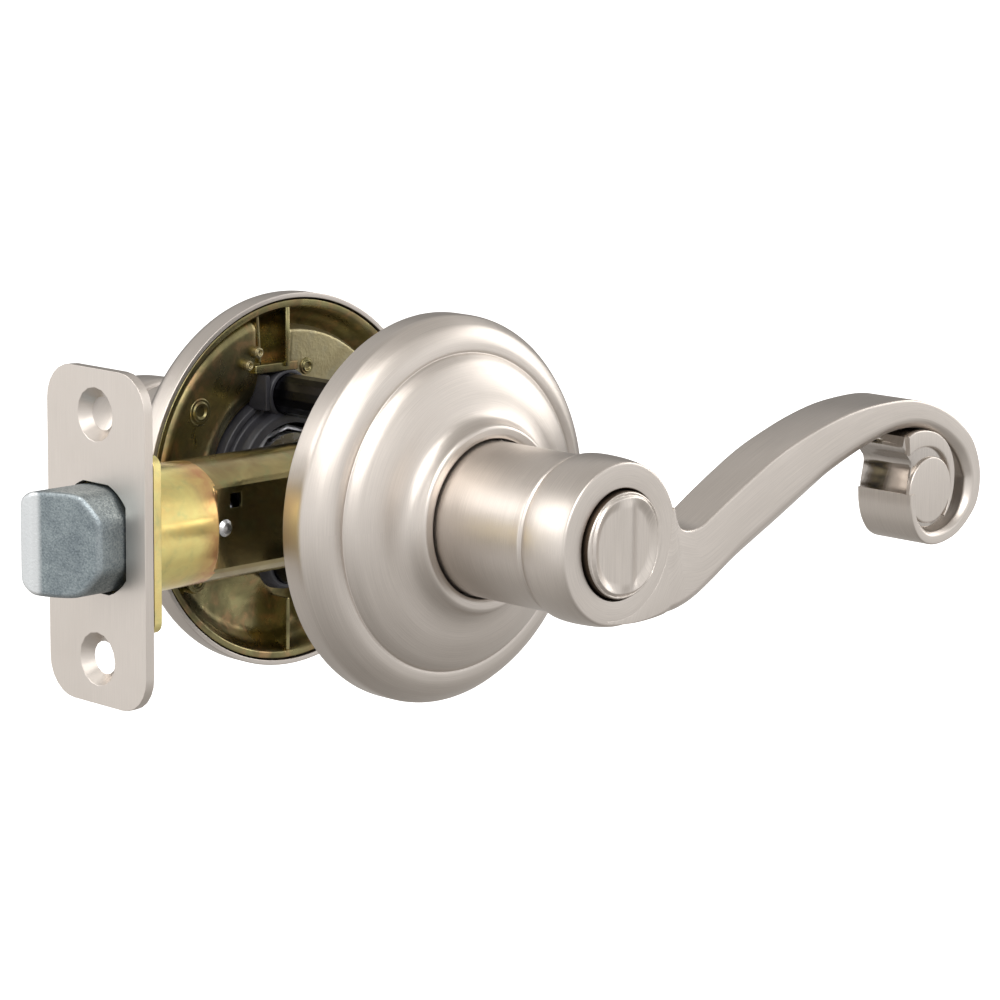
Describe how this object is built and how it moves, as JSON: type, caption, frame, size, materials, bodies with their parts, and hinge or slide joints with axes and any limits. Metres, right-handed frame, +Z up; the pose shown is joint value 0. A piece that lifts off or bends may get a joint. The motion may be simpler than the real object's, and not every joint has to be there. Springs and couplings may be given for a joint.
{
  "type": "door lever handle",
  "caption": "Privacy door lever set: scrolled levers on round roses, one spindle, a turn button and a sprung bevelled latch.",
  "frame": {"origin": "on the spindle's axis, halfway through the door, where the latch's axis crosses it", "axes": "-Y to the room side with the turn button, +Y to the other side, -X to the door's edge with the faceplate and bolt, +X along the lever arms, +Z up"},
  "size_m": [0.1709, 0.1284, 0.0686],
  "materials": {
    "satin_nickel": "satin nickel plate, finely brushed",
    "cast_zinc": "bead-blasted zinc",
    "gold_zinc_plate": "yellow zinc dichromate",
    "olive_zinc_casting": "dark olive dichromate on a casting",
    "black_nylon": "black nylon, slight sheen",
    "black_steel": "black-plated steel",
    "bright_steel": "bright zinc-plated steel",
    "spring_steel": "spring steel wire"
  },
  "bodies": {
    "fixed_parts": {"interior_rose": "satin_nickel", "exterior_rose": "satin_nickel", "interior_chassis": "bright_steel", "exterior_chassis": "olive_zinc_casting", "interior_rose_liner": "black_nylon", "exterior_drive_cover": "black_nylon", "screw_post_upper": "black_steel", "screw_post_lower": "black_steel", "mounting_screw_upper": "bright_steel", "mounting_screw_lower": "bright_steel", "interior_return_spring": "spring_steel", "exterior_return_spring": "spring_steel", "latch_faceplate": "satin_nickel", "latch_backplate": "gold_zinc_plate", "latch_tube": "gold_zinc_plate", "latch_case": "olive_zinc_casting", "case_rivet_near": "bright_steel", "case_rivet_far": "bright_steel", "spring_seat": "olive_zinc_casting", "bolt_spring": "spring_steel"},
    "room_side_lever": {"interior_lever": "satin_nickel", "interior_drive_sleeve": "bright_steel", "interior_snap_ring": "spring_steel", "interior_lever_catch": "bright_steel"},
    "far_side_lever": {"exterior_lever": "satin_nickel", "exterior_drive_sleeve": "bright_steel", "exterior_snap_ring": "spring_steel", "exterior_lever_catch": "bright_steel", "half_round_spindle": "bright_steel"},
    "button_and_cam": {"turn_button": "satin_nickel", "button_shaft": "bright_steel", "button_washer": "spring_steel", "lock_cam": "bright_steel"},
    "hub": {"latch_hub": "gold_zinc_plate"},
    "retractor": {"drawbar": "olive_zinc_casting"},
    "bolt": {"latch_bolt": "cast_zinc", "bolt_tail": "olive_zinc_casting"}
  },
  "joints": [
    {"name": "interior_lever_turn", "type": "hinge", "parent": "fixed_parts", "child": "room_side_lever", "pos_m": [0, 0, 0], "axis": [0, 1, 0], "range_deg": [0, 50], "stiffness_Nm_per_rad": 0.8, "springref_deg": -34.38},
    {"name": "exterior_lever_turn", "type": "hinge", "parent": "fixed_parts", "child": "far_side_lever", "pos_m": [0, 0, 0], "axis": [0, 1, 0], "range_deg": [0, 50], "stiffness_Nm_per_rad": 0.8, "springref_deg": -34.38},
    {"name": "hub_turn", "type": "hinge", "parent": "fixed_parts", "child": "hub", "pos_m": [0, 0, 0], "axis": [0, 1, 0], "range_deg": [0, 50]},
    {"name": "drawbar_slide", "type": "slide", "parent": "fixed_parts", "child": "retractor", "axis": [1, 0, 0], "range_m": [0, 0.0111]},
    {"name": "bolt_push", "type": "slide", "parent": "retractor", "child": "bolt", "axis": [1, 0, 0], "range_m": [0, 0.0111], "stiffness_N_per_m": 350, "springref_m": -0.01, "deforming": ["bolt_spring"]},
    {"name": "turn_button_turn", "type": "hinge", "parent": "room_side_lever", "child": "button_and_cam", "pos_m": [0, -0.0634, 0], "axis": [0, 1, 0], "range_deg": [0, 90]}
  ],
  "couplings": [
    {"joint": "exterior_lever_turn", "follows": "interior_lever_turn", "ratio": 1},
    {"joint": "hub_turn", "follows": "interior_lever_turn", "ratio": 1},
    {"joint": "drawbar_slide", "follows": "interior_lever_turn", "m_per_rad": 0.0127}
  ]
}
